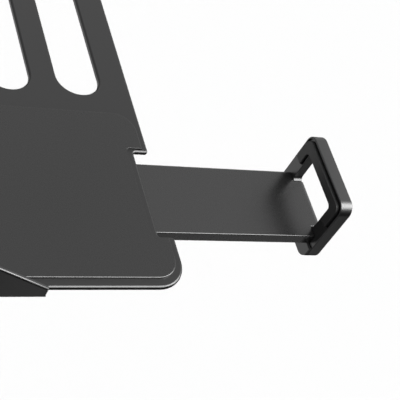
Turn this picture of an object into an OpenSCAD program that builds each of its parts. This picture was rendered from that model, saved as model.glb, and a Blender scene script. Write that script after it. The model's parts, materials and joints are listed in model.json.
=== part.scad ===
// Laptop tray for a monitor arm, with two sliding side arms that end in upright loops.
// Millimetres. The origin is the centre of the mounting face under the bracket,
// +X to the right, +Y to the rear and +Z up through the tray.

/* [Tray] */
// Width of the tray from side to side
tray_w = 255; // [250:1:290]
// Depth of the tray from front to rear
tray_d = 250.5; // [230:0.5:280]
// Thickness of the tray's sheet steel
sheet_t = 2.3; // [1.5:0.1:3]
// Radius of the tray's corners
corner_r = 12; // [8:1:18]
// Room between the arm channel and the mounting bracket
mount_gap = 1.65; // [1:0.05:12]

/* [Vent slots] */
// Width of one slot
slot_w = 18.7; // [12:0.1:22]
// Distance from one slot's middle to the next
slot_pitch = 30.1; // [28:0.1:32]
// Distance from the front edge to the slots' front ends
slot_setback = 92.7; // [88:0.2:110]
// Least width of sheet left outside the outer slots
slot_rim = 10; // [8:0.5:20]
// Bare sheet left behind the slots
slot_rear_margin = 14; // [8:1:30]

/* [Side notches] */
// How far each notch cuts into the tray
notch_depth = 6.7; // [6.2:0.1:8]
// Room in front of the loop in its notch
notch_front_room = 0.65; // [0.35:0.05:3]
// Room behind the loop in its notch
notch_rear_room = 0.35; // [0.35:0.05:3]

/* [Grip mat] */
// Thickness of the mat
mat_t = 1.0; // [0.6:0.1:2]
// Bare sheet left on each side of the mat
mat_margin = 3.0; // [2:0.5:6]
// Bare sheet left in front of the mat
mat_front = 3.7; // [2:0.1:6]
// Distance from the front edge to the mat's rear edge
mat_rear = 82.9; // [74:0.1:86]
// Extra bare sheet beyond a notch's floor
mat_notch_margin = 3.3; // [2:0.1:6]
// Extra bare sheet on each side of a notch
mat_notch_side = 1.1; // [0.5:0.1:4]

/* [Front stop] */
// Width of the stop at its foot
stop_w = 141.6; // [110:0.2:160]
// Thickness of the stop's sheet steel
stop_t = 1.8; // [1.5:0.1:3]
// Height of the stop above the tray's top
stop_h = 20; // [12:1:30]
// Slope of the stop's ends, in degrees
stop_slope = 29.7; // [20:0.1:45]
// Height above the tray's top where the slope starts
stop_shoulder = 1.3; // [0.5:0.1:4]
// Depth of the foot under the tray
stop_foot_d = 14; // [10:1:16]

/* [Side arms] */
// Width of an arm
arm_w = 33.7; // [28:0.1:36]
// Height of an arm's side flanges
arm_h = 4.9; // [4.2:0.1:6]
// Thickness of an arm's sheet steel
arm_t = 1.8; // [1.2:0.1:2]
// Distance from the tray's front edge to the middle of an arm
arm_setback = 43.7; // [42:0.05:46]
// Distance from the tray's side to the loop's pad at rest
arm_reach = 66.1; // [55:0.1:72]

/* [Loops] */
// Room on each side of the arm inside the loop's outline
loop_side_room = 3.05; // [2.4:0.05:4]
// Height of the loop above the tray's top
loop_top = 19.8; // [15:0.1:30]
// Depth of the loop's lowest edge below the tray's top
loop_drop = 15.5; // [13.6:0.1:18]
// Depth of the loop's frame along the arm
loop_depth = 5.75; // [5.25:0.05:7]
// Width of the frame's upright bars
loop_bar = 6.9; // [6.4:0.1:7.5]
// Width of the frame's upper bar
loop_top_bar = 6.2; // [5.5:0.1:7]
// Radius of the loop's outer corners
loop_r = 4.8; // [4.6:0.1:6]
// Radius of the window's corners
window_r = 1.8; // [1:0.1:3]
// Thickness of the pad that lies on the frame's inner face
pad_t = 1.0; // [0.8:0.1:1.4]
// Width of the pad's legs
pad_bar = 4.25; // [4:0.05:4.5]
// Width of the pad's upper bar
pad_top_bar = 4.45; // [4:0.05:4.6]
// How far the pad's legs lie inside the frame's outline
pad_inset = 1.6; // [1.4:0.05:1.8]
// How far the pad's upper bar lies below the frame's outline
pad_top_inset = 1.95; // [1.6:0.05:2.2]
// Height of the pad's legs above the tray's top
pad_leg_z = 5.8; // [5:0.1:7]

/* [Arm channel] */
// Thickness of the channel's sheet steel
channel_t = 1.5; // [1:0.1:2]
// Width of the channel's flanges
channel_flange = 7.5; // [7:0.1:8]
// Thickness of the glide strips
strip_t = 1.0; // [0.6:0.1:1.6]
// Width of the glide strips
strip_w = 6; // [4:0.5:8]

/* [Mounting bracket] */
// Height of the bracket, from the mounting face to the tray
bracket_h = 12; // [10.5:0.5:20]
// Thickness of the bracket's sheet steel
bracket_t = 2.0; // [1.5:0.1:2.5]
// Larger square hole pattern
pattern_large = 100; // [100:1:100]
// Smaller square hole pattern
pattern_small = 75; // [75:1:75]
// Diameter of the mounting thread
mount_thread_d = 4; // [4:0.1:4]

/* [Lock knobs] */
// Diameter of a lock knob
knob_d = 22; // [18:1:24]
// Height of a lock knob
knob_h = 10; // [8:0.5:14]
// Diameter of the lock stud
stud_d = 6; // [5:0.5:6]

/* [Hidden] */

$fn = 64;

// Colours as seen on the object
steel_colour = [0.11, 0.11, 0.115];
rubber_colour = [0.07, 0.07, 0.07];
plastic_colour = [0.085, 0.085, 0.09];
zinc_colour = [0.62, 0.63, 0.65];
nylon_colour = [0.86, 0.86, 0.84];
brass_colour = [0.72, 0.58, 0.3];

// Clearances
// Gap between parts that slide past each other
run_gap = 0.3;
// Gap between the tray's underside and an arm
arm_gap = 0.45;
// Radial room of a rivet or screw in its hole
hole_room = 0.05;
// Radial room of the stud in the knob's insert
thread_room = 0.05;
// Gap left between the two arms when both are pushed in
meet_gap = 2.8;
// How far a knob's rim stays behind the end of its arm
knob_apart = 0.7;
// Gap left between a loop's pad and the floor of its notch when pushed in
closed_gap = 0.5;
// Overrun of every cut past the face that it opens
over = 1;

// Heights, counted from the mounting face
tray_under = bracket_h;
tray_top = bracket_h + sheet_t;
arm_top = tray_under - arm_gap;
arm_under = arm_top - arm_h;
strip_top = arm_under - run_gap;
floor_top = strip_top - strip_t;
floor_under = floor_top - channel_t;

// Places along Y: the mount lies behind the arm channel
channel_in_w = arm_w + 2 * run_gap;
channel_out_w = channel_in_w + 2 * channel_t;
// How far the bracket reaches past its outer holes
bracket_end = 6;
bracket_len = pattern_large + 2 * bracket_end;
mount_setback = arm_setback + channel_out_w / 2 + channel_flange + mount_gap + bracket_len / 2;
front_y = -mount_setback;
rear_y = tray_d - mount_setback;
arm_y = front_y + arm_setback;

// Places along X on the right-hand side
side_x = tray_w / 2;
travel = arm_reach + notch_depth - closed_gap;
arm_inner_x = meet_gap / 2 + travel;
stud_x = arm_inner_x + knob_d / 2 + knob_apart;
pad_x = side_x + arm_reach;
frame_x = pad_x + pad_t;
frame_end_x = frame_x + loop_depth;

// Vent slots, an even number of them, so that a web lies in the middle
slot_room = tray_w - 2 * slot_rim + slot_pitch - slot_w;
slot_count = 2 * floor(slot_room / slot_pitch / 2);
slot_r = slot_w / 2;
slot_front_y = front_y + slot_setback;
slot_rear_y = rear_y - slot_rear_margin;

// Loop outline
loop_w = arm_w + 2 * loop_side_room;
loop_top_z = tray_top + loop_top;
loop_under_z = tray_top - loop_drop;
// A groove in the frame's inner face runs round the pad, inside a narrow rim
rim_t = 0.7;
groove_d = 0.9;
// The pad's upright legs cover one side of an open slot in each upright bar
slit_w = 2.5;
slit_rim = 0.4;
slit_h = 6.2;
slit_d = 2;
// The frame's outer face is dished down to the window
outer_rim_t = 0.9;
outer_recess = 1.7;
dish_r = 0.3;
// The foot lies on the frame's inner face and reaches up to the arm
foot_inset = 0.1;
pad_w = loop_w - 2 * pad_inset;
pad_top_z = loop_top_z - pad_top_inset;
pad_window_r = 2.2;

// Notch
notch_w = loop_w + notch_front_room + notch_rear_room;
notch_y = arm_y - loop_w / 2 - notch_front_room;
notch_corner_r = 1.2;

// Sheet bends
arm_bend_r = 0.4;
tongue_bend_r = 2.6;
tongue_side_room = 5.2;
tongue_w = arm_w - 2 * tongue_side_room;
tongue_room = 0.1;
shoulder_x = frame_x;
tongue_margin = 2.4;
tongue_end_z = loop_under_z + tongue_margin;
stop_bend_r = 1.4;
channel_bend_r = 1.8;
bracket_bend_r = 2.6;

// Loop screws
screw_d = 2;
screw_head_d = 4.6;
screw_head_h = 1.3;
screw_pitch = 13;
screw_wall = 0.6;
screw_z = (tongue_end_z + arm_top - tongue_bend_r) / 2;
screw_len = loop_depth - arm_t - screw_wall;
screw_head_share = 0.8;

// Rivets
rivet_d = 3.2;
rivet_head_d = 5.6;
rivet_head_h = 1.2;
rivet_flush_d = 5.4;
rivet_flush_h = 1.1;
rivet_foot_share = 0.7;

// Channel, from the front wall to the rear wall
channel_end_gap = 2.5;
channel_len = tray_w - 2 * (notch_depth + channel_end_gap);
stud_slot_w = stud_d + 4 * run_gap;
channel_rivet_shares = [0.12, 0.42];

// Lock parts
washer_d = 16;
washer_t = 1.2;
washer_top = floor_under - run_gap;
knob_top = washer_top - washer_t - run_gap;
knob_under = knob_top - knob_h;
knob_hub_d = 13;
knob_hub_h = 1.2;
knob_edge_r = 1.6;
knob_lobes = 7;
knob_scallop_r = 4.2;
knob_scallop_depth = 1.7;
insert_d = 9;
insert_room = 1.4;
stud_collar_d = 10;
stud_collar_t = 1.0;
stud_tip_room = 2.0;

// Bracket
bracket_edge = 5;
bracket_flat_w = pattern_large + 2 * bracket_edge;
bracket_flange = 11;
bracket_window_r = 18;
nut_d = 7.4;
nut_h = 3;
bracket_rivet_share = 0.4;
bracket_rivet_x = bracket_flat_w / 2 + bracket_t + bracket_flange * bracket_rivet_share;
bracket_rivet_edge = 7;

// Front stop
stop_rivet_pitch = 50;
stop_rivet_share = 0.58;
stop_rivet_y = front_y + stop_foot_d * stop_rivet_share;

// A rectangle from one corner, with all four corners rounded
module rounded_rect(w, h, r) {
    translate([r, 0]) square([w - 2 * r, h]);
    translate([0, r]) square([w, h - 2 * r]);
    for (x = [r, w - r], y = [r, h - r]) translate([x, y]) circle(r);
}

// A slot with round ends along Y
module upright_slot(x, y0, y1, r) {
    translate([x - r, y0 + r]) square([2 * r, y1 - y0 - 2 * r]);
    translate([x, y0 + r]) circle(r);
    translate([x, y1 - r]) circle(r);
}

// A slot with round ends along X
module level_slot(x0, x1, y, r) {
    translate([x0, y - r]) square([x1 - x0, 2 * r]);
    translate([x0, y]) circle(r);
    translate([x1, y]) circle(r);
}

// Extrudes an outline drawn in Y and Z along +X, starting at x
module along_x(x, len) {
    translate([x, 0, 0]) rotate([90, 0, 90]) linear_extrude(len) children();
}

// Extrudes an outline drawn in X and Z along Y, centred on y
module along_y(y, len) {
    translate([0, y + len / 2, 0]) rotate([90, 0, 0]) linear_extrude(len) children();
}

// Copies the right-hand piece to the left-hand side
module left_side() {
    mirror([1, 0, 0]) children();
}

// A rivet whose flush head lies at z = top and whose round head hangs at z = under
module rivet(top, under) {
    translate([0, 0, under]) cylinder(h = top - under, d = rivet_d);
    translate([0, 0, top - rivet_flush_h]) cylinder(h = rivet_flush_h, d1 = rivet_d, d2 = rivet_flush_d);
    translate([0, 0, under - rivet_head_h]) {
        cylinder(h = rivet_head_h, d1 = rivet_head_d * rivet_foot_share, d2 = rivet_head_d);
    }
}

// The hole that such a rivet needs through the tray
module rivet_hole(top, under) {
    room = 2 * hole_room;
    translate([0, 0, under - over]) cylinder(h = top - under + 2 * over, d = rivet_d + room);
    translate([0, 0, top - rivet_flush_h]) {
        cylinder(h = rivet_flush_h, d1 = rivet_d + room, d2 = rivet_flush_d + room);
    }
    translate([0, 0, top]) cylinder(h = over, d = rivet_flush_d + room);
}

// Places of the rivets
module stop_rivet_places() {
    for (i = [-1 : 1]) translate([i * stop_rivet_pitch, stop_rivet_y, 0]) children();
}

module channel_rivet_places() {
    reach = (channel_out_w + channel_flange) / 2;
    for (s = [-1, 1], share = channel_rivet_shares, row = [-1, 1]) {
        translate([s * share * tray_w, arm_y + row * reach, 0]) children();
    }
}

module bracket_rivet_places() {
    reach = bracket_len / 2 - bracket_rivet_edge;
    for (s = [-1, 1], row = [-1, 0, 1]) {
        translate([s * bracket_rivet_x, row * reach, 0]) children();
    }
}

// The tray's outline seen from above
module tray_outline() {
    difference() {
        translate([-side_x, front_y]) rounded_rect(tray_w, tray_d, corner_r);
        for (s = [0, 1]) mirror([s, 0]) {
            translate([side_x - notch_depth, notch_y]) {
                rounded_rect(notch_depth + 2 * over + 2 * notch_corner_r, notch_w, notch_corner_r);
            }
        }
        for (i = [0 : slot_count - 1]) {
            x = (i - (slot_count - 1) / 2) * slot_pitch;
            upright_slot(x, slot_front_y, slot_rear_y, slot_r);
        }
    }
}

module tray_plate() {
    color(steel_colour) difference() {
        translate([0, 0, tray_under]) linear_extrude(sheet_t) tray_outline();
        stop_rivet_places() rivet_hole(tray_top, tray_under);
        channel_rivet_places() rivet_hole(tray_top, tray_under);
        bracket_rivet_places() rivet_hole(tray_top, tray_under);
    }
}

// The mat follows the tray's front, sides and notches
module mat_outline() {
    mat_w = tray_w - 2 * mat_margin;
    mat_r = corner_r - mat_margin;
    bite_w = notch_w + 2 * mat_notch_side;
    bite_d = notch_depth + mat_notch_margin;
    difference() {
        translate([-mat_w / 2, front_y + mat_front]) {
            rounded_rect(mat_w, mat_rear - mat_front, mat_r);
        }
        for (s = [0, 1]) mirror([s, 0]) {
            translate([side_x - bite_d, notch_y - mat_notch_side]) {
                rounded_rect(bite_d + 2 * over + 2 * notch_corner_r, bite_w, notch_corner_r);
            }
        }
    }
}

module grip_mat() {
    color(rubber_colour) translate([0, 0, tray_top]) linear_extrude(mat_t) mat_outline();
}

// The stop's cross section in Y and Z: a foot under the tray and a wall before its edge
module stop_section() {
    wall_y = front_y - stop_t;
    foot_z = tray_under - stop_t;
    r = stop_bend_r;
    difference() {
        union() {
            translate([wall_y, foot_z + r]) square([stop_t, tray_top + stop_h - foot_z - r]);
            translate([wall_y + r, foot_z]) square([stop_t + stop_foot_d - r, stop_t]);
            translate([wall_y + r, foot_z + r]) circle(r);
        }
        translate([front_y, tray_under]) square([2 * r + over, stop_h]);
    }
}

// The stop's outline seen from the front
module stop_face() {
    half = stop_w / 2;
    top = tray_top + stop_h;
    shoulder = tray_top + stop_shoulder;
    run = (top - shoulder) / tan(stop_slope);
    under = tray_under - stop_t;
    polygon([
        [-half, under - over], [half, under - over], [half, shoulder],
        [half - run, top], [run - half, top], [-half, shoulder]
    ]);
}

module front_stop() {
    color(steel_colour) difference() {
        intersection() {
            along_x(-stop_w / 2, stop_w) stop_section();
            along_y(front_y + stop_foot_d / 2, 2 * (stop_foot_d + stop_t)) stop_face();
        }
        stop_rivet_places() rivet_hole(tray_under + over, tray_under - stop_t);
    }
}

module front_stop_rivets() {
    color(zinc_colour) stop_rivet_places() rivet(tray_top, tray_under - stop_t);
}

// The channel's cross section in Y and Z, open upwards, with a flange on each side
module channel_section() {
    r = channel_bend_r;
    half = channel_out_w / 2;
    difference() {
        union() {
            translate([arm_y - half, floor_under + r]) square([2 * half, tray_under - floor_under - r]);
            translate([arm_y - half + r, floor_under]) square([2 * half - 2 * r, r]);
            for (s = [-1, 1]) translate([arm_y + s * (half - r), floor_under + r]) circle(r);
            translate([arm_y - half - channel_flange, tray_under - channel_t]) {
                square([2 * half + 2 * channel_flange, channel_t]);
            }
        }
        translate([arm_y - channel_in_w / 2, floor_top]) square([channel_in_w, tray_under]);
    }
}

module arm_channel() {
    color(steel_colour) difference() {
        along_x(-channel_len / 2, channel_len) channel_section();
        for (s = [0, 1]) mirror([s, 0, 0]) {
            translate([0, 0, floor_under - over]) linear_extrude(channel_t + 2 * over) {
                level_slot(stud_x - travel, stud_x, arm_y, stud_slot_w / 2);
            }
        }
        channel_rivet_places() rivet_hole(tray_under + over, tray_under - channel_t);
    }
}

module channel_rivets() {
    color(zinc_colour) channel_rivet_places() rivet(tray_top, tray_under - channel_t);
}

// A nylon strip on the channel's floor, under one flange of each arm
module glide_strip(row) {
    y = row > 0 ? arm_y + channel_in_w / 2 - strip_w : arm_y - channel_in_w / 2;
    color(nylon_colour) translate([-channel_len / 2, y, floor_top]) {
        cube([channel_len, strip_w, strip_t]);
    }
}

module front_glide_strip() {
    glide_strip(-1);
}

module rear_glide_strip() {
    glide_strip(1);
}

// The bracket's cross section in X and Z: a flat, two walls and two flanges
module bracket_section() {
    r = bracket_bend_r;
    half = bracket_flat_w / 2 + bracket_t;
    difference() {
        union() {
            translate([-half, r]) square([2 * half, bracket_h - r]);
            translate([r - half, 0]) square([2 * half - 2 * r, r]);
            for (s = [-1, 1]) translate([s * (half - r), r]) circle(r);
            translate([-half - bracket_flange, bracket_h - bracket_t]) {
                square([2 * half + 2 * bracket_flange, bracket_t]);
            }
        }
        translate([-bracket_flat_w / 2, bracket_t]) square([bracket_flat_w, bracket_h]);
    }
}

module mount_hole_places() {
    for (p = [pattern_large, pattern_small], x = [-1, 1], y = [-1, 1]) {
        translate([x * p / 2, y * p / 2, 0]) children();
    }
}

module vesa_bracket() {
    color(steel_colour) difference() {
        along_y(0, bracket_len) bracket_section();
        mount_hole_places() translate([0, 0, -over]) {
            cylinder(h = bracket_t + 2 * over, d = mount_thread_d);
        }
        translate([0, 0, -over]) cylinder(h = bracket_t + 2 * over, r = bracket_window_r);
        bracket_rivet_places() rivet_hole(tray_under + over, tray_under - bracket_t);
    }
}

module vesa_nuts() {
    color(zinc_colour) mount_hole_places() translate([0, 0, bracket_t]) difference() {
        cylinder(h = nut_h, d = nut_d);
        translate([0, 0, -over]) cylinder(h = nut_h + 2 * over, d = mount_thread_d);
    }
}

module bracket_rivets() {
    color(zinc_colour) bracket_rivet_places() rivet(tray_top, tray_under - bracket_t);
}

// An arm's cross section in Y and Z: a web with a flange bent down on each side
module arm_section() {
    r = arm_bend_r;
    half = arm_w / 2;
    difference() {
        union() {
            translate([arm_y - half, arm_under]) square([2 * half, arm_h - r]);
            translate([arm_y - half + r, arm_top - r]) square([2 * half - 2 * r, r]);
            for (s = [-1, 1]) translate([arm_y + s * (half - r), arm_top - r]) circle(r);
        }
        translate([arm_y - half + arm_t, arm_under - over]) {
            square([arm_w - 2 * arm_t, arm_h - arm_t + over]);
        }
    }
}

// The tongue in X and Z: level over the loop's lower bar, then bent down behind it
module tongue_section() {
    r = tongue_bend_r;
    bend_x = frame_end_x - r;
    bend_z = arm_top - r;
    translate([shoulder_x - over, arm_top - arm_t]) square([bend_x - shoulder_x + over, arm_t]);
    translate([frame_end_x - arm_t, tongue_end_z]) square([arm_t, bend_z - tongue_end_z]);
    translate([bend_x, bend_z]) intersection() {
        difference() {
            circle(r);
            circle(r - arm_t);
        }
        square(r);
    }
}

module side_arm() {
    color(steel_colour) difference() {
        union() {
            along_x(arm_inner_x, shoulder_x - arm_inner_x) arm_section();
            along_y(arm_y, tongue_w) tongue_section();
        }
        translate([stud_x, arm_y, arm_top - arm_t - over]) {
            cylinder(h = arm_t + 2 * over, d = stud_d + 2 * hole_room);
        }
        loop_screw_places() rotate([0, 90, 0]) {
            translate([0, 0, -arm_t - over]) cylinder(h = arm_t + 2 * over, d = screw_d + 4 * hole_room);
        }
    }
}

// The two screws that hold the tongue to the loop's frame, heads on the outer face
module loop_screw_places() {
    for (s = [-1, 1]) translate([frame_end_x, arm_y + s * screw_pitch / 2, screw_z]) children();
}

// The loop's outline in Y and Z, drawn in by an inset
module loop_outline(inset) {
    translate([arm_y - loop_w / 2 + inset, loop_under_z + inset]) {
        rounded_rect(loop_w - 2 * inset, loop_top_z - loop_under_z - 2 * inset, loop_r - inset);
    }
}

// A dish with sloping sides, from the outline at inset i0 to the outline at inset i1
module dish(x0, i0, x1, i1) {
    r0 = loop_r - i0;
    r1 = loop_r - i1;
    half = loop_w / 2 - loop_r;
    low = loop_under_z + loop_r;
    high = loop_top_z - loop_r;
    for (y = [-half, half], z = [low, high]) {
        translate([x0, arm_y + y, z]) rotate([0, 90, 0]) cylinder(h = x1 - x0, r1 = r0, r2 = r1);
    }
    along_y(arm_y, 2 * half) {
        polygon([[x0, low - r0], [x1, low - r1], [x1, high + r1], [x0, high + r0]]);
    }
    translate([0, 0, low]) linear_extrude(high - low) polygon([
        [x0, arm_y - half - r0], [x1, arm_y - half - r1],
        [x1, arm_y + half + r1], [x0, arm_y + half + r0]
    ]);
}

// The window through the frame, its floor level with the arm's top
module frame_window() {
    translate([arm_y - loop_w / 2 + loop_bar, arm_top]) {
        rounded_rect(loop_w - 2 * loop_bar, loop_top_z - loop_top_bar - arm_top, window_r);
    }
}

// The pad's outer edge, rounded at the top
module pad_edge() {
    translate([arm_y - pad_w / 2, arm_top]) {
        rounded_rect(pad_w, pad_top_z - arm_top, loop_r - pad_inset);
    }
}

// Keeps what lies above the pad's leg ends
module above_legs() {
    translate([pad_x - over, arm_y - loop_w / 2, tray_top + pad_leg_z]) {
        cube([pad_t + loop_depth, loop_w, loop_top]);
    }
}

// The groove round the pad
module pad_groove() {
    intersection() {
        along_x(frame_x - over, groove_d + over) difference() {
            loop_outline(rim_t);
            pad_edge();
        }
        above_legs();
    }
}

// The open slots in the upright bars, round at the top
module side_slits() {
    reach = loop_w / 2 - loop_bar + slit_rim + slit_w / 2;
    low = tray_top + pad_leg_z;
    intersection() {
        along_x(frame_x - over, slit_d + over) for (side = [-1, 1]) {
            upright_slot(arm_y + side * reach, low - slit_w, low + slit_h, slit_w / 2);
        }
        above_legs();
    }
}

// The room that the arm's tongue needs over the lower bar and behind it
module tongue_pocket() {
    pocket_w = tongue_w + 2 * tongue_room;
    along_y(arm_y, pocket_w) tongue_section();
    translate([frame_x - over, arm_y - pocket_w / 2, arm_top - arm_t]) {
        cube([loop_depth - tongue_bend_r + over, pocket_w, arm_t + over]);
    }
    translate([frame_end_x - tongue_bend_r, arm_y - pocket_w / 2, arm_top - tongue_bend_r]) {
        difference() {
            cube([tongue_bend_r + over, pocket_w, tongue_bend_r + over]);
            translate([0, -over, 0]) rotate([-90, 0, 0]) {
                cylinder(h = pocket_w + 2 * over, r = tongue_bend_r - arm_t);
            }
        }
    }
    translate([frame_end_x - arm_t, arm_y - pocket_w / 2, tongue_end_z - tongue_room]) {
        cube([arm_t + over, pocket_w, arm_top - tongue_bend_r - tongue_end_z + tongue_room]);
    }
}

module loop_frame() {
    color(plastic_colour) difference() {
        along_x(frame_x, loop_depth) loop_outline(0);
        along_x(frame_x - over, loop_depth + 2 * over) frame_window();
        pad_groove();
        side_slits();
        // The outer face is dished down to the window
        dish(frame_end_x - outer_recess, loop_r - dish_r, frame_end_x, outer_rim_t);
        along_x(frame_end_x, over) loop_outline(outer_rim_t);
        tongue_pocket();
        loop_screw_places() screw_hole();
    }
}

// A rubber pad over the upper bars: an inverted U, flat on the frame's inner face
module loop_pad() {
    color(rubber_colour) difference() {
        intersection() {
            along_x(pad_x, pad_t) pad_edge();
            above_legs();
        }
        along_x(pad_x - over, pad_t + 2 * over) {
            translate([arm_y - pad_w / 2 + pad_bar, loop_under_z]) {
                rounded_rect(pad_w - 2 * pad_bar, pad_top_z - pad_top_bar - loop_under_z, pad_window_r);
            }
        }
    }
}

// The foot: a plate below the arm, flush with the pad
module loop_foot() {
    color(plastic_colour) intersection() {
        along_x(pad_x, pad_t) loop_outline(foot_inset);
        translate([pad_x, arm_y - loop_w / 2, loop_under_z]) {
            cube([pad_t, loop_w, arm_under - loop_under_z]);
        }
    }
}

// The hole that a loop screw needs in the frame
module screw_hole() {
    rotate([0, -90, 0]) cylinder(h = arm_t + screw_len + hole_room, d = screw_d + 2 * hole_room);
}

module loop_screws() {
    color(zinc_colour) loop_screw_places() rotate([0, 90, 0]) {
        cylinder(h = screw_head_h, d1 = screw_head_d, d2 = screw_head_d * screw_head_share);
        translate([0, 0, -arm_t - screw_len]) cylinder(h = arm_t + screw_len, d = screw_d);
    }
}

// The stud is pressed into the arm's web, with a collar under it
module lock_stud() {
    collar_top = arm_top - arm_t;
    tip = knob_under + stud_tip_room;
    color(zinc_colour) translate([stud_x, arm_y, 0]) {
        translate([0, 0, tip]) cylinder(h = arm_top - tip, d = stud_d);
        translate([0, 0, collar_top - stud_collar_t]) cylinder(h = stud_collar_t, d = stud_collar_d);
    }
}

module lock_washer() {
    color(zinc_colour) translate([stud_x, arm_y, washer_top - washer_t]) difference() {
        cylinder(h = washer_t, d = washer_d);
        translate([0, 0, -over]) cylinder(h = washer_t + 2 * over, d = stud_d + 2 * run_gap);
    }
}

// The knob's half section: a hub, a rounded rim and a flat bottom
module knob_section() {
    r = knob_edge_r;
    square([knob_hub_d / 2, knob_h]);
    square([knob_d / 2 - r, knob_h - knob_hub_h]);
    translate([0, r]) square([knob_d / 2, knob_h - knob_hub_h - 2 * r]);
    for (z = [r, knob_h - knob_hub_h - r]) translate([knob_d / 2 - r, z]) circle(r);
}

module lock_knob() {
    color(plastic_colour) translate([stud_x, arm_y, knob_under]) difference() {
        rotate_extrude() knob_section();
        translate([0, 0, insert_room]) cylinder(h = knob_h, d = insert_d);
        for (i = [0 : knob_lobes - 1]) rotate(i * 360 / knob_lobes) {
            translate([knob_d / 2 + knob_scallop_r - knob_scallop_depth, 0, -over]) {
                cylinder(h = knob_h + 2 * over, r = knob_scallop_r);
            }
        }
    }
}

module knob_insert() {
    h = knob_h - insert_room;
    color(brass_colour) translate([stud_x, arm_y, knob_under + insert_room]) difference() {
        cylinder(h = h, d = insert_d);
        translate([0, 0, -over]) cylinder(h = h + 2 * over, d = stud_d + 2 * thread_room);
    }
}

tray_plate();
grip_mat();
front_stop();
front_stop_rivets();
arm_channel();
channel_rivets();
front_glide_strip();
rear_glide_strip();
vesa_bracket();
vesa_nuts();
bracket_rivets();
side_arm();  // right_arm
loop_frame();  // right_loop_frame
loop_pad();  // right_loop_pad
loop_foot();  // right_loop_foot
loop_screws();  // right_loop_screws
lock_stud();  // right_lock_stud
lock_washer();  // right_lock_washer
lock_knob();  // right_lock_knob
knob_insert();  // right_knob_insert
left_side() side_arm();  // left_arm
left_side() loop_frame();  // left_loop_frame
left_side() loop_pad();  // left_loop_pad
left_side() loop_foot();  // left_loop_foot
left_side() loop_screws();  // left_loop_screws
left_side() lock_stud();  // left_lock_stud
left_side() lock_washer();  // left_lock_washer
left_side() lock_knob();  // left_lock_knob
left_side() knob_insert();  // left_knob_insert
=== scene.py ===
# %% [markdown]
# A laptop tray for a monitor arm. A sheet of black steel carries the laptop, with long vent slots
# behind, a grip mat on its front third and an upright stop on its front edge. An arm slides out on
# each side and ends in a loop that keeps the laptop from sliding off. Knobs below lock the arms.
#
# The measured model comes in first, as a fixed frame. Everything below takes its place and its size
# from that frame, so each piece lands where the maker's drawing puts it.

# %% Load the measured model
import json
import math
import bmesh
import bpy
from mathutils import Matrix, Vector


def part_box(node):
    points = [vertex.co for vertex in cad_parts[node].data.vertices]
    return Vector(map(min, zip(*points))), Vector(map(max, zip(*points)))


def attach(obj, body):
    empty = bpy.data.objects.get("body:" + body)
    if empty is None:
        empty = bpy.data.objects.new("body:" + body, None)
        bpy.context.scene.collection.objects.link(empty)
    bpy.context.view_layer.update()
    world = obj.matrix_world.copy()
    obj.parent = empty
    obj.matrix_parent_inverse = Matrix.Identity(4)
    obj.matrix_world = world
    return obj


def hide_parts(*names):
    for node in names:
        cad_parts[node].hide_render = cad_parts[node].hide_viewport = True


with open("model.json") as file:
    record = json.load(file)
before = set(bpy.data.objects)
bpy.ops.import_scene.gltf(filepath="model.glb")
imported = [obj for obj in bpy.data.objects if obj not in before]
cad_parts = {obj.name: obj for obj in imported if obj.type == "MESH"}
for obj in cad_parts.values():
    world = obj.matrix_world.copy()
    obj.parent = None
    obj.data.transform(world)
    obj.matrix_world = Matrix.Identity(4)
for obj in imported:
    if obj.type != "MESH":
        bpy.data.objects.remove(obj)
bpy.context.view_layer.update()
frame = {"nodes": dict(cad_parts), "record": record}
scene = bpy.context.scene
MM = 0.001

# %% [markdown]
# The picture is taken from the front left, well above the tray, with the camera rolled so that the
# tray's front edge lies level. The tray and its arms have straight edges that should be parallel, and
# the way they draw together in the picture gives the camera's place and its lens. A Track To
# constraint could aim a camera too, but a plain matrix keeps the roll exactly.

# %% Camera
SENSOR_WIDTH = 36.0
FOCAL_LENGTH = 114.08
CAMERA_PLACE = Vector((-96.381, -353.789, 362.572)) * MM
CAMERA_RIGHT = Vector((0.8766, -0.2623, 0.4035)).normalized()
CAMERA_BACK = Vector((-0.4801, -0.5343, 0.6957)).normalized()

camera_data = bpy.data.cameras.new("camera")
camera_data.sensor_width = SENSOR_WIDTH
camera_data.lens = FOCAL_LENGTH
camera_data.clip_start = 0.01
camera_data.clip_end = 50
camera = bpy.data.objects.new("camera", camera_data)
camera_up = CAMERA_BACK.cross(CAMERA_RIGHT).normalized()
axes = Matrix((camera_up.cross(CAMERA_BACK), camera_up, CAMERA_BACK)).transposed()
camera.matrix_world = Matrix.Translation(CAMERA_PLACE) @ axes.to_4x4()
scene.collection.objects.link(camera)
scene.camera = camera
scene.view_settings.view_transform = "Standard"
print("camera at", [round(v, 3) for v in CAMERA_PLACE], "lens", FOCAL_LENGTH)

# %% [markdown]
# In a studio the object stands in front of pale paper. The paper could be one bent sheet, but this
# tray is also looked at from below, so it has a floor far under it and a dome all round. Both are
# studio pieces: each one is a simple bmesh shape with a plain shader of its own.

# %% A piece of the studio
def studio_piece(name, bm, sockets, hidden_from):
    """Makes a stage object of a bmesh. hidden_from names the kinds of light that don't meet it."""
    mesh = bpy.data.meshes.new(name)
    bm.to_mesh(mesh)
    bm.free()
    material = bpy.data.materials.new("pale_" + name)
    material.use_nodes = True
    shader = material.node_tree.nodes["Principled BSDF"]
    for socket, value in sockets.items():
        shader.inputs[socket].default_value = value
    mesh.materials.append(material)
    piece = bpy.data.objects.new(name, mesh)
    scene.collection.objects.link(piece)
    for kind in hidden_from:
        setattr(piece, "visible_" + kind, False)
    print(name, "faces", len(mesh.polygons))


# %% [markdown]
# The floor lies so far below the tray that the tray's shadow on it spreads out to nothing. It is matt,
# and it is kept out of reflections, where the low panels that come later stand in for it.

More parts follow.
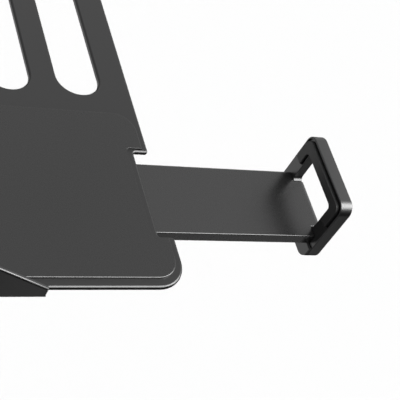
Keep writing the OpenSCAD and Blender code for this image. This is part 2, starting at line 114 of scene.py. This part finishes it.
# %% Floor
FLOOR_HEIGHT = -2.6
FLOOR_HALF_WIDTH = 25
bm = bmesh.new()
bmesh.ops.create_grid(bm, x_segments=2, y_segments=2, size=FLOOR_HALF_WIDTH)
bmesh.ops.translate(bm, verts=bm.verts, vec=(0, 0, FLOOR_HEIGHT))
paper = {"Base Color": (0.75, 0.75, 0.75, 1), "Roughness": 0.9, "Specular IOR Level": 0.0}
studio_piece("floor", bm, paper, ["glossy"])

# %% [markdown]
# The dome is the paper behind the object. It glows a little less than white by itself, and only the
# camera sees it. So the background stays pale while the paint mirrors the lamps and panels alone.

# %% Backdrop
DOME_RADIUS = 8
DOME_GLOW = 0.96
bm = bmesh.new()
bmesh.ops.create_icosphere(bm, subdivisions=4, radius=DOME_RADIUS)
glow = {
    "Base Color": (0, 0, 0, 1),
    "Emission Color": (1, 1, 1, 1),
    "Emission Strength": DOME_GLOW,
}
studio_piece("backdrop", bm, glow, ["diffuse", "glossy", "transmission", "volume_scatter", "shadow"])

# %% [markdown]
# Black satin paint has hardly any colour of its own. What the eye sees on it is the room that it
# mirrors, so the light is laid out for its reflections: large soft panels give each face its grey,
# and two soft boxes draw the bright lines along the rounded edges.
#
# The panels could be planes that glow. Here they are soft round patches of the world's light, because
# a patch has no border that could show as a line on a flat sheet. Each one has a middle that is fully
# bright and fades out to its end, both given as an angle from its direction.

# %% The room that the paint mirrors
ROOM_PANELS = [
    # The level faces mirror this one: the sheet, the mat and the tops of the arms.
    {"toward": (0.60, 0.62, 0.50), "strength": 1.0, "full": 22, "end": 52},
    # The rounded edges that lean to the front right mirror these two.
    {"toward": (0.87, 0.12, 0.48), "strength": 1.6, "full": 5, "end": 26},
    {"toward": (0.95, -0.20, 0.15), "strength": 3.5, "full": 4, "end": 20},
    # The edges between the top and the left side of each piece mirror this one.
    {"toward": (-0.55, 0.53, 0.65), "strength": 0.7, "full": 30, "end": 60},
    # The upright faces on the front mirror this one.
    {"toward": (0.45, -0.515, -0.73), "strength": 0.5, "full": 8, "end": 15},
    # The upright faces on the left side of each piece mirror this one, such as the right loop's pad.
    {"toward": (-0.48, 0.53, -0.70), "strength": 0.9, "full": 15, "end": 45},
    # A dim fill from the left, and two low ones that also light the underside.
    {"toward": (-0.80, -0.30, 0.50), "strength": 0.5, "full": 30, "end": 60},
    {"toward": (0.78, 0.42, -0.46), "strength": 0.4, "full": 12, "end": 24},
    {"toward": (-0.55, -0.55, -0.55), "strength": 0.35, "full": 20, "end": 45},
]


def panel_light(tree, where, panel):
    """The light that one panel sends from each direction."""
    along = tree.nodes.new("ShaderNodeVectorMath")
    along.operation = "DOT_PRODUCT"
    along.inputs[1].default_value = Vector(panel["toward"]).normalized()
    level = tree.nodes.new("ShaderNodeMapRange")
    level.interpolation_type = "SMOOTHSTEP"
    level.inputs["From Min"].default_value = math.cos(math.radians(panel["end"]))
    level.inputs["From Max"].default_value = math.cos(math.radians(panel["full"]))
    level.inputs["To Min"].default_value = 0
    level.inputs["To Max"].default_value = panel["strength"]
    tree.links.new(where, along.inputs[0])
    tree.links.new(along.outputs["Value"], level.inputs["Value"])
    return level.outputs["Result"]


# %% Hang the panels
world = bpy.data.worlds.new("studio")
world.use_nodes = True
room = world.node_tree
where = room.nodes.new("ShaderNodeTexCoord").outputs["Generated"]
total = panel_light(room, where, ROOM_PANELS[0])
for panel in ROOM_PANELS[1:]:
    both = room.nodes.new("ShaderNodeMath")
    both.operation = "ADD"
    room.links.new(total, both.inputs[0])
    room.links.new(panel_light(room, where, panel), both.inputs[1])
    total = both.outputs["Value"]
room.nodes["Background"].inputs["Color"].default_value = (1, 1, 1, 1)
room.links.new(total, room.nodes["Background"].inputs["Strength"])
scene.world = world
print("panels", len(ROOM_PANELS))

# %% [markdown]
# The floor needs more light than the panels give. A photographer would bounce a lamp off the ceiling:
# a very wide sun from above does the same. It stays out of the reflections, so the paint keeps its
# greys.

# %% Overhead wash
WASH_POWER = 2.0
WASH_WIDTH = math.radians(60)
WASH_TILT = math.radians(8)
wash_data = bpy.data.lights.new("overhead_wash", "SUN")
wash_data.energy = WASH_POWER
wash_data.angle = WASH_WIDTH
wash = bpy.data.objects.new("overhead_wash", wash_data)
wash.rotation_euler = (WASH_TILT, -WASH_TILT, 0)
wash.visible_glossy = False
wash.visible_camera = False
scene.collection.objects.link(wash)
print("wash", WASH_POWER)

# %% [markdown]
# A soft box is a lamp behind a square of cloth. The rounded edges of the sheet mirror it as a thin
# bright line, so its width sets the line's width, and its brightness is given for its face: the
# lamp's power then follows from its size.

# %% Soft boxes
def soft_box(name, at, toward, size, radiance):
    """A square lamp that only shows in reflections."""
    data = bpy.data.lights.new(name, "AREA")
    data.shape = "RECTANGLE"
    data.size, data.size_y = size
    data.energy = radiance * math.pi * size[0] * size[1]
    light = bpy.data.objects.new(name, data)
    light.location = at
    light.rotation_euler = (Vector(toward) - Vector(at)).to_track_quat("-Z", "Y").to_euler()
    light.visible_diffuse = False
    light.visible_camera = False
    scene.collection.objects.link(light)
    print(name, "power", round(data.energy, 2))


soft_box("front_box", at=(0.72, -0.64, 1.08), toward=(0.1, -0.1, 0), size=(1.3, 1.05), radiance=12.5)
soft_box("right_box", at=(1.25, -0.24, 0.74), toward=(0.13, -0.12, 0), size=(0.7, 0.6), radiance=13)

# %% [markdown]
# Each finish on the object is a smooth skin with a grain: the orange peel of sprayed powder, the
# texture of a mould, the scratches of plating. An image of paint could show it, but a noise keeps its
# real size on every piece. One fine noise makes the bumps and, because bumps scatter light, a little
# of the roughness too. A broad noise shifts the colour, as no coat is even.

# %% A noise of a real size
def noise_on(tree, scale, detail):
    """A noise on the piece's own coordinates. The scale counts its grains in a metre."""
    where = tree.nodes.new("ShaderNodeTexCoord")
    noise = tree.nodes.new("ShaderNodeTexNoise")
    noise.inputs["Scale"].default_value = scale
    noise.inputs["Detail"].default_value = detail
    tree.links.new(where.outputs["Object"], noise.inputs["Vector"])
    return noise.outputs["Fac"]


print("a grain of 0.6 mm has the scale", round(1 / (0.6 * MM)))

# %% What a noise does to the colour
# A Mix node has several sockets with one name, so its colour sockets are taken by number.
FACTOR, COLOUR_A, COLOUR_B, COLOUR_OUT = 0, 6, 7, 2
TINT_SPREAD = 0.25


def tinted(tree, colour, noise):
    """The colour, somewhat darker where the noise is low and lighter where it is high."""
    mix = tree.nodes.new("ShaderNodeMix")
    mix.data_type = "RGBA"
    mix.inputs[COLOUR_A].default_value = (*[c * (1 - TINT_SPREAD) for c in colour], 1)
    mix.inputs[COLOUR_B].default_value = (*[min(1, c * (1 + TINT_SPREAD)) for c in colour], 1)
    tree.links.new(noise, mix.inputs[FACTOR])
    return mix.outputs[COLOUR_OUT]


print("colour varies by", TINT_SPREAD)

# %% What a noise does to the sheen
# A noise stays near its middle, so the roughness takes its full swing between these two values.
NOISE_LOW, NOISE_HIGH = 0.3, 0.7
GLOSS_SPREAD = 0.015


def glossed(tree, roughness, noise):
    """The roughness, a little lower and higher with the noise."""
    gloss = tree.nodes.new("ShaderNodeMapRange")
    gloss.inputs["From Min"].default_value = NOISE_LOW
    gloss.inputs["From Max"].default_value = NOISE_HIGH
    gloss.inputs["To Min"].default_value = roughness - GLOSS_SPREAD
    gloss.inputs["To Max"].default_value = roughness + GLOSS_SPREAD
    tree.links.new(noise, gloss.inputs["Value"])
    return gloss.outputs["Result"]


def bumped(tree, depth, noise):
    """The surface with the noise as its height."""
    bump = tree.nodes.new("ShaderNodeBump")
    bump.inputs["Strength"].default_value = 1.0
    bump.inputs["Distance"].default_value = depth
    tree.links.new(noise, bump.inputs["Height"])
    return bump.outputs["Normal"]


print("roughness varies by", GLOSS_SPREAD)

# %% A finish
PATCHES_PER_METRE = 22


def finish_material(name, colour, roughness, grain, depth, level=0.5, metal=0.0):
    """A finish with a grain: grain is its pitch in mm and depth its bump in mm."""
    material = bpy.data.materials.new(name)
    material.use_nodes = True
    tree = material.node_tree
    shader = tree.nodes["Principled BSDF"]
    shader.inputs["Metallic"].default_value = metal
    shader.inputs["Specular IOR Level"].default_value = level
    fine = noise_on(tree, 1 / (grain * MM), detail=3)
    broad = noise_on(tree, PATCHES_PER_METRE, detail=4)
    tree.links.new(tinted(tree, colour, broad), shader.inputs["Base Color"])
    tree.links.new(glossed(tree, roughness, fine), shader.inputs["Roughness"])
    tree.links.new(bumped(tree, depth * MM, fine), shader.inputs["Normal"])
    print(name, "roughness", roughness, "grain", grain, "mm")
    return material


FINISH = {}

# %% [markdown]
# The sheet steel is powder coated: black powder is sprayed on dry and melted in an oven, which leaves
# a satin skin with a fine orange peel. The arms are coated apart from the tray, and look a touch
# glossier and smoother. The base colour is nearly nothing, so that the grey all comes from gloss.

# %% Powder coat
COAT_BLACK = (0.003, 0.003, 0.0031)
FINISH["black_steel"] = finish_material("satin_powder_coat", COAT_BLACK, 0.29, grain=0.6, depth=0.006)
ARM_COAT = finish_material("arm_powder_coat", COAT_BLACK, 0.28, grain=0.5, depth=0.004, level=0.65)

# %% [markdown]
# The mat is rubber pressed between smooth plates, so its sheen is close to the paint's. The loop's
# frame comes from a textured mould, and the pad set into it is a softer, matt rubber. All three are
# black, so they are told apart by grain, roughness and strength of reflection.

# %% Rubber and plastic
FINISH["black_rubber"] = finish_material(
    "grip_rubber", (0.004, 0.004, 0.004), 0.28, grain=0.35, depth=0.014, level=0.51,
)
FINISH["black_plastic"] = finish_material(
    "grained_plastic", (0.003, 0.003, 0.0031), 0.34, grain=0.3, depth=0.01, level=0.64,
)
PAD_RUBBER = finish_material(
    "pad_rubber", (0.009, 0.009, 0.009), 0.55, grain=0.35, depth=0.02, level=0.4,
)

# %% [markdown]
# The fittings below are bought parts: zinc-plated rivets, nuts and screws, brass inserts turned on a
# lathe, and white nylon strips that the arms glide on. Metal needs Metallic at 1, which makes its
# base colour the colour of its reflections.

# %% Bought fittings
FINISH["zinc_steel"] = finish_material(
    "zinc_plate", (0.62, 0.63, 0.65), 0.3, grain=0.5, depth=0.01, metal=1.0,
)
FINISH["brass"] = finish_material(
    "turned_brass", (0.78, 0.57, 0.25), 0.28, grain=0.5, depth=0.01, metal=1.0,
)
FINISH["white_nylon"] = finish_material(
    "smooth_nylon", (0.8, 0.8, 0.78), 0.4, grain=1.0, depth=0.01,
)

# %% [markdown]
# The drawing says which finish each piece has. Each measured piece gets its finish now, so that a
# piece that stays as drawn, such as a glide strip, is dressed too.

# %% Dress the measured pieces
slot_of = {row["node"]: row["material_slot"] for row in frame["record"]["subparts"]}
for node_name, node_object in frame["nodes"].items():
    for place in node_object.material_slots:
        place.material = FINISH[slot_of[node_name]]
print("finishes", sorted(FINISH))

# %% [markdown]
# Real sheet metal and moulded plastic have no knife edges. The drawing leaves them sharp, so each
# piece that shows gets a copy with rounded edges. A Bevel modifier would do, but the bevel operator
# lets each edge have its own width: a rolled sheet is round, and a drilled hole is nearly sharp.
#
# A measured piece is made of loose triangles. Its copy is merged first, and triangles that lie in one
# plane become one face, so that a bevel runs along whole edges.

# %% A merged copy
MERGE_DISTANCE = 2e-6
FLAT_ANGLE = math.radians(0.6)


def merged(node):
    """A bmesh of a measured piece, with its doubles merged and its flat faces whole."""
    bm = bmesh.new()
    bm.from_mesh(frame["nodes"][node].data)
    bmesh.ops.remove_doubles(bm, verts=bm.verts, dist=MERGE_DISTANCE)
    bmesh.ops.dissolve_limit(bm, angle_limit=FLAT_ANGLE, verts=bm.verts, edges=bm.edges)
    return bm


bm = merged("tray_plate")
print("tray plate as drawn: faces", len(bm.faces), "edges", len(bm.edges))
bm.free()

# %% [markdown]
# An edge is sharp where its two faces meet at a steep angle. Which sharp edges belong to one bevel
# depends on the piece, so the search takes a test, a small function that says yes or no to an edge.

# %% Find sharp edges and round them
def sharp_edges(bm, angle=35, keep=None):
    """The edges whose faces meet at more than the angle and, if given, that keep says yes to."""
    steep = [
        edge for edge in bm.edges
        if len(edge.link_faces) == 2 and edge.calc_face_angle(0) > math.radians(angle)
    ]
    return [edge for edge in steep if keep is None or keep(edge)]


def round_edges(bm, edges, width, segments):
    """Rounds edges. The width is in mm from the edge, and a full round has more segments."""
    bmesh.ops.bevel(
        bm, geom=edges, offset=width * MM, offset_type="OFFSET", segments=segments,
        profile=0.5, affect="EDGES", clamp_overlap=False, material=-1,
    )


bm = merged("grip_mat")
print("sharp edges of the mat", len(sharp_edges(bm)), "of", len(bm.edges))
bm.free()

# %% [markdown]
# A rounded copy takes the place of the measured piece: it rides on the same body, keeps its finish
# and hides the drawing's piece. Faces are shaded smooth except across steep edges, and the Weighted
# Normal modifier keeps the large flat faces truly flat next to their narrow bevels.

# %% Finish a copy
STEEP = math.radians(50)
FLAT_FACE_WEIGHT = 100


def body_of(node):
    """The moving body that a measured piece belongs to."""
    for body, names in frame["record"]["behaviour"]["bodies"].items():
        if node in names:
            return body


def finished(bm, name, node, finish=None):
    """Makes a bmesh the visible piece for a measured one."""
    for face in bm.faces:
        face.smooth = True
    for edge in bm.edges:
        edge.smooth = len(edge.link_faces) == 2 and edge.calc_face_angle(0) < STEEP
    mesh = bpy.data.meshes.new(name)
    bm.to_mesh(mesh)
    bm.free()
    mesh.materials.append(finish or FINISH[slot_of[node]])
    piece = bpy.data.objects.new(name, mesh)
    scene.collection.objects.link(piece)
    level = piece.modifiers.new("flat_faces_stay_flat", "WEIGHTED_NORMAL")
    level.weight = FLAT_FACE_WEIGHT
    level.keep_sharp = True
    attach(piece, body_of(node))
    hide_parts(node)
    print(name, "on", body_of(node), "faces", len(mesh.polygons))


# %% [markdown]
# The tray is one sheet of steel, cut by a laser. Its outline was rolled before it was coated, so the
# rim is nearly half-round: the upper half catches the lamp as a bright line, and the lower half stays
# dark. The sheet could be bevelled in one go, but the rim, the vent slots and the notches were worked
# differently, so each edge is first sorted by where it lies.

# %% Where the tray's edges lie
tray_low, tray_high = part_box("tray_plate")
loop_low, loop_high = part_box("right_loop_frame")
tray_middle = (tray_low.z + tray_high.z) / 2
# The notch is a little longer than the loop that goes into it.
notch_front = loop_low.y - 0.65 * MM
notch_rear = loop_high.y + 0.35 * MM
# The notch's corners lie outside notch_side, and the vent slots end inside slots_side and slots_rear.
notch_side = tray_high.x - 8.5 * MM
slots_side = tray_high.x - 11.5 * MM
slots_rear = tray_high.y - 8 * MM
front_band = tray_low.y + 0.5 * MM
print("notch from", round(notch_front, 4), "to", round(notch_rear, 4))

# %% Sort the tray's edges
TOUCH = 0.1 * MM
SHORTEST = 0.2 * MM


def all_ends(edge, test):
    """Whether both ends of an edge pass a test of their place."""
    return all(test(v.co) for v in edge.verts)


def on_top(edge):
    return all_ends(edge, lambda co: co.z > tray_middle)


def below(edge):
    return all_ends(edge, lambda co: co.z < tray_middle)


def at_notch(edge):
    return all_ends(edge, lambda co: abs(co.x) > notch_side and (
        notch_front - TOUCH < co.y < notch_rear + TOUCH))


def at_rim(edge):
    """On the tray's outline, not on a vent slot or a rivet hole."""
    return all_ends(edge, lambda co: abs(co.x) > slots_side or co.y > slots_rear or (
        co.y < front_band))


def in_slot(edge):
    return edge.calc_length() > SHORTEST and not at_rim(edge)


bm = merged("tray_plate")
print("sharp edges at the rim", sum(at_rim(e) for e in sharp_edges(bm)))
bm.free()

# %% [markdown]
# The upright corners of the notches are rounded first, and with a larger radius than the rim's: round
# a sharper corner, the rim's bevel would fold over itself. Then come the rim, above and below, and the
# slots, which are round on top, where a cable may rub, and only lose their burr underneath.

# %% Tray plate
CORNER_ROUND, RIM_ROUND, SLOT_ROUND, BURR = 1.3, 1.1, 1.0, 0.15
bm = merged("tray_plate")
upright = [
    e for e in sharp_edges(bm, keep=at_notch)
    if abs(e.verts[0].co.z - e.verts[1].co.z) > (tray_high.z - tray_low.z) / 2
]
round_edges(bm, upright, CORNER_ROUND, 5)
upper_rim = [e for e in sharp_edges(bm, keep=on_top) if at_rim(e)]
round_edges(bm, upper_rim, RIM_ROUND, 5)
lower_rim = [e for e in sharp_edges(bm, keep=below) if at_rim(e)]
round_edges(bm, lower_rim, RIM_ROUND, 4)
slot_tops = [e for e in sharp_edges(bm, angle=60, keep=on_top) if in_slot(e)]
round_edges(bm, slot_tops, SLOT_ROUND, 4)
burrs = [e for e in sharp_edges(bm, angle=60, keep=below) if in_slot(e)]
round_edges(bm, burrs, BURR, 2)
finished(bm, "tray_plate_rounded", "tray_plate")
print("corners", len(upright), "rim", len(upper_rim), len(lower_rim), "slots", len(slot_tops), len(burrs))

# %% [markdown]
# The mat is a sheet of rubber, pressed to shape and glued on, and cut with a knife round the notches.
# A pressed edge is soft and a cut edge is crisp, so the long edges get one bevel and the cuts a much
# smaller one. One width for all would make the cuts look moulded.

# %% Grip mat
PRESSED_ROUND, CUT_ROUND = 0.5, 0.14
mat_low, mat_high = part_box("grip_mat")
mat_middle = (mat_low.z + mat_high.z) / 2
cut_side = mat_high.x - 12 * MM
cut_front = notch_front - 1.65 * MM
cut_rear = notch_rear + 2.55 * MM


def on_mat_top(edge):
    return all_ends(edge, lambda co: co.z > mat_middle)


def at_cut(edge):
    return all_ends(edge, lambda co: abs(co.x) > cut_side and cut_front < co.y < cut_rear)


bm = merged("grip_mat")
pressed = [e for e in sharp_edges(bm, keep=on_mat_top) if not at_cut(e)]
round_edges(bm, pressed, PRESSED_ROUND, 3)
cut = [e for e in sharp_edges(bm, keep=on_mat_top) if at_cut(e)]
round_edges(bm, cut, CUT_ROUND, 2)
finished(bm, "grip_mat_rounded", "grip_mat")
print("pressed edges", len(pressed), "cut edges", len(cut))

# %% [markdown]
# The loop's frame is moulded in one piece, an upright ring with a window for the fingers. Its rim is
# soft on the outside, and the groove for the pad and the slits are nearly sharp. The edges are sorted
# by how far they lie inside the ring's outline, which is a rectangle with round corners.

# %% Depth inside the loop's outline
LOOP_CORNER = 4.8 * MM
NEAR = 0.02 * MM


def inset_of(co, low, high):
    """How far a point lies inside the loop's outline, seen along the arm."""
    half_y = (high.y - low.y) / 2 - LOOP_CORNER
    half_z = (high.z - low.z) / 2 - LOOP_CORNER
    past_y = abs(co.y - (high.y + low.y) / 2) - half_y
    past_z = abs(co.z - (high.z + low.z) / 2) - half_z
    beyond = math.hypot(max(past_y, 0), max(past_z, 0))
    return LOOP_CORNER - beyond - min(max(past_y, past_z), 0)


def at_depth(edge, x, least, most, low, high):
    """On the upright face at x, from least to most mm inside the outline."""
    return all_ends(edge, lambda co: abs(abs(co.x) - x) < NEAR and (
        least * MM < inset_of(co, low, high) < most * MM))


window_depth = inset_of((loop_low + loop_high) / 2, loop_low, loop_high)
print("the loop's middle lies", round(window_depth / MM, 1), "mm inside the outline")

# %% Loop frames
INNER_ROUND, OUTER_ROUND, CRISP_ROUND = 0.4, 0.6, 0.12
ON_OUTLINE, INSIDE = (-0.05, 0.05), (0.5, 20)
for side in ("right", "left"):
    node = side + "_loop_frame"
    low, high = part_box(node)
    inner_x, outer_x = sorted((abs(low.x), abs(high.x)))
    bm = merged(node)
    inner = [e for e in sharp_edges(bm) if at_depth(e, inner_x, *ON_OUTLINE, low, high)]
    outer = [e for e in sharp_edges(bm) if at_depth(e, outer_x, *ON_OUTLINE, low, high)]
    round_edges(bm, inner, INNER_ROUND, 3)
    round_edges(bm, outer, OUTER_ROUND, 4)
    crisp = [
        e for e in sharp_edges(bm)
        if e.calc_length() > SHORTEST and (
            at_depth(e, inner_x, *INSIDE, low, high) or at_depth(e, outer_x, *INSIDE, low, high))
    ]
    round_edges(bm, crisp, CRISP_ROUND, 2)
    finished(bm, node + "_rounded", node)
    print("rim edges", len(inner), len(outer), "crisp edges", len(crisp))

# %% [markdown]
# A rubber pad is pressed into the ring's groove, so that the loop doesn't scratch the laptop. Only the
# face that shows has its edge rounded, because the rest of the pad sits in the groove.

# %% Loop pads
PAD_ROUND = 0.3


def on_plane(edge, x):
    return all_ends(edge, lambda co: abs(abs(co.x) - x) < NEAR)


for side in ("right", "left"):
    node = side + "_loop_pad"
    low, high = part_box(node)
    inner_x = min(abs(low.x), abs(high.x))
    bm = merged(node)
    front = [e for e in sharp_edges(bm) if on_plane(e, inner_x)]
    round_edges(bm, front, PAD_ROUND, 3)
    finished(bm, node + "_rounded", node, PAD_RUBBER)
    print("pad edges", len(front))

# %% [markdown]
# Below the arm a moulded foot fills the ring's inner face. Its top edge is the one that shows most, and
# it is the roundest. The others get a small radius on both faces, as a mould gives them.

# %% Loop feet
FOOT_TOP_ROUND, FOOT_FACE_ROUND, FOOT_BACK_ROUND = 0.7, 0.2, 0.25
for side in ("right", "left"):
    node = side + "_loop_foot"
    low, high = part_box(node)
    inner_x, outer_x = sorted((abs(low.x), abs(high.x)))
    top_z = high.z - 0.01 * MM

    def at_top(edge):
        return all_ends(edge, lambda co: co.z > top_z)

    bm = merged(node)
    top = [e for e in sharp_edges(bm, keep=at_top) if on_plane(e, inner_x)]
    round_edges(bm, top, FOOT_TOP_ROUND, 4)
    rim = [e for e in sharp_edges(bm) if on_plane(e, inner_x) and not at_top(e)]
    round_edges(bm, rim, FOOT_FACE_ROUND, 3)
    rear = [e for e in sharp_edges(bm) if on_plane(e, outer_x) and not at_top(e)]
    round_edges(bm, rear, FOOT_BACK_ROUND, 3)
    finished(bm, node + "_rounded", node)
    print("foot edges", len(top), len(rim), len(rear))

# %% [markdown]
# The front stop is cut from the same sheet and has the same half-round edge on its front face, which
# a hand meets. Its other edges, which nobody touches, only have the burr off.

# %% Front stop
STOP_ROUND, STOP_BURR = 0.85, 0.25
FACET = 0.9 * MM
front_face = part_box("front_stop")[0].y
bm = merged("front_stop")
outside = [
    e for e in sharp_edges(bm)
    if all_ends(e, lambda co: abs(co.y - front_face) < NEAR)
]
round_edges(bm, outside, STOP_ROUND, 5)
inside = [e for e in sharp_edges(bm, angle=60) if e.calc_length() > FACET]
round_edges(bm, inside, STOP_BURR, 2)
finished(bm, "front_stop_rounded", "front_stop")
print("stop edges", len(outside), len(inside))

# %% [markdown]
# The arms are folded channels. The drawing gives each fold a small radius, and on the real arm the
# rear fold is wider, which shows as a softer bright line. Scaling the fold's vertices about the sharp
# corner that they round widens it and leaves the flat sides where they are.

# %% Arms
DRAWN_FOLD, REAL_FOLD = 0.4, 1.1
SHEET_BURR = 0.2
growth = REAL_FOLD / DRAWN_FOLD
reach = (DRAWN_FOLD + 0.01) * MM
for side in ("right", "left"):
    node = side + "_arm"
    low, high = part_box(node)
    bm = merged(node)
    fold = [v for v in bm.verts if v.co.y > high.y - reach and v.co.z > high.z - reach]
    about_corner = Matrix.Translation((0, -high.y, -high.z))
    bmesh.ops.scale(bm, verts=fold, vec=(1, growth, growth), space=about_corner)
    round_edges(bm, sharp_edges(bm), SHEET_BURR, 2)
    finished(bm, node + "_rounded", node, ARM_COAT)
    print("fold vertices", len(fold))

# %% [markdown]
# The rest of the metal is folded and drilled sheet, rivets, nuts and washers. Their burrs are off, and
# no more: one narrow bevel on every sharp edge is enough to catch a thread of light, so one helper
# does them all.

# %% Plain metal pieces
WASHER_ROUND = 0.15


def rounded_copy(node, width):
    """A copy of a measured piece with every sharp edge rounded by the same width in mm."""
    bm = merged(node)
    edges = sharp_edges(bm)
    round_edges(bm, edges, width, 2)
    finished(bm, node + "_rounded", node)
    print("edges", len(edges))


for node in ("arm_channel", "vesa_bracket"):
    rounded_copy(node, SHEET_BURR)
for node in ("front_stop_rivets", "channel_rivets", "bracket_rivets", "vesa_nuts"):
    rounded_copy(node, SHEET_BURR)
for side in ("right", "left"):
    rounded_copy(side + "_lock_washer", WASHER_ROUND)

# %% [markdown]
# A lock knob is moulded with seven finger hollows round it. Its lower face is sunk inside a border,
# which hides the mark of the mould. Two insets of that face do it: the first leaves the border, and
# the second steps down to the sunk face.

# %% Lock knobs
KNOB_BORDER, STEP_WIDTH, STEP_DEPTH, KNOB_ROUND = 1.9, 0.5, 0.5, 0.35
FACING_DOWN = -0.9
for side in ("right", "left"):
    node = side + "_lock_knob"
    low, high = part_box(node)
    bm = merged(node)
    lower_faces = [
        f for f in bm.faces
        if f.calc_center_median().z < low.z + 0.05 * MM and f.normal.z < FACING_DOWN
    ]
    under = max(lower_faces, key=lambda f: f.calc_area())
    bmesh.ops.inset_region(bm, faces=[under], thickness=KNOB_BORDER * MM, use_even_offset=True)
    bmesh.ops.inset_region(
        bm, faces=[under], thickness=STEP_WIDTH * MM, depth=-STEP_DEPTH * MM, use_even_offset=True,
    )
    round_edges(bm, sharp_edges(bm, angle=40), KNOB_ROUND, 3)
    finished(bm, node + "_rounded", node)
    print("lower faces", len(lower_faces))

# %% [markdown]
# Each loop hangs on two button-head screws with a hexagon socket. The head starts as a circle that is
# extruded up and drawn in. The socket is a six-sided circle, bridged to the round top and then pushed
# in. A boolean cut would do too, but the bridge keeps the faces round the socket even.

# %% Pull a ring of edges
def edges_between(bm, verts):
    """The edges whose two ends are both among the vertices, in the bmesh's own order."""
    return [e for e in bm.edges if all(v in verts for v in e.verts)]


def pulled_ring(bm, edges):
    """Extrudes a ring of edges, and gives the new ring's vertices and edges."""
    new = bmesh.ops.extrude_edge_only(bm, edges=edges)["geom"]
    verts = [v for v in new if isinstance(v, bmesh.types.BMVert)]
    return verts, edges_between(bm, verts)


bm = bmesh.new()
ring = bmesh.ops.create_circle(bm, segments=6, radius=MM)["verts"]
print("a pulled ring has", len(pulled_ring(bm, edges_between(bm, ring))[1]), "edges")
bm.free()

# %% One button-head screw
HEAD_HEIGHT, HEAD_TAPER = 1.3 * MM, 0.8
SHANK_RADIUS = 1.0 * MM
SOCKET_RADIUS, SOCKET_DEPTH = 1.15 * MM, 0.8 * MM


def button_screw(bm, head_radius, shank_length):
    """Adds a screw along +Z, with its head's underside at the origin, and gives its vertices."""
    before = set(bm.verts)
    rim = bmesh.ops.create_circle(bm, segments=32, radius=head_radius)["verts"]
    rim_edges = edges_between(bm, rim)
    top, top_edges = pulled_ring(bm, rim_edges)
    bmesh.ops.translate(bm, verts=top, vec=(0, 0, HEAD_HEIGHT))
    bmesh.ops.scale(bm, verts=top, vec=(HEAD_TAPER, HEAD_TAPER, 1))
    hexagon = bmesh.ops.create_circle(bm, segments=6, radius=SOCKET_RADIUS)["verts"]
    bmesh.ops.translate(bm, verts=hexagon, vec=(0, 0, HEAD_HEIGHT))
    hexagon_edges = edges_between(bm, hexagon)
    bmesh.ops.bridge_loops(bm, edges=top_edges + hexagon_edges)
    floor, floor_edges = pulled_ring(bm, hexagon_edges)
    bmesh.ops.translate(bm, verts=floor, vec=(0, 0, -SOCKET_DEPTH))
    bmesh.ops.contextual_create(bm, geom=floor_edges)
    neck, neck_edges = pulled_ring(bm, rim_edges)
    narrowing = SHANK_RADIUS / head_radius
    bmesh.ops.scale(bm, verts=neck, vec=(narrowing, narrowing, 1))
    end, end_edges = pulled_ring(bm, neck_edges)
    bmesh.ops.translate(bm, verts=end, vec=(0, 0, -shank_length))
    bmesh.ops.contextual_create(bm, geom=end_edges)
    made = [v for v in bm.verts if v not in before]
    bmesh.ops.recalc_face_normals(bm, faces=list({f for v in made for f in v.link_faces}))
    return made


bm = bmesh.new()
print("one screw has", len(button_screw(bm, 2.3 * MM, 5 * MM)), "vertices")
bm.free()

# %% [markdown]
# The screws lie along the arm, so each one is turned from +Z to point its head outwards. It is turned
# and moved in its mesh, and its object stays at the origin, as the measured pieces do.

# %% Loop screws
SCREW_RIM_ROUND = 0.18
RIM_FACET = 0.5 * MM
for side, outward in (("right", 1), ("left", -1)):
    node = side + "_loop_screws"
    low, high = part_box(node)
    head_radius = (high.z - low.z) / 2
    shank_length = high.x - low.x - HEAD_HEIGHT
    seat_x = outward * (max(abs(low.x), abs(high.x)) - HEAD_HEIGHT)
    turn = Matrix.Rotation(math.radians(90 * outward), 4, "Y")
    bm = bmesh.new()
    for y in (low.y + head_radius, high.y - head_radius):
        screw = button_screw(bm, head_radius, shank_length)
        bmesh.ops.transform(bm, matrix=turn, verts=screw)
        bmesh.ops.translate(bm, verts=screw, vec=(seat_x, y, (low.z + high.z) / 2))
    rims = [e for e in sharp_edges(bm, angle=40) if e.calc_length() < RIM_FACET]
    round_edges(bm, rims, SCREW_RIM_ROUND, 2)
    finished(bm, node + "_socketed", node)
    print("rim edges", len(rims))
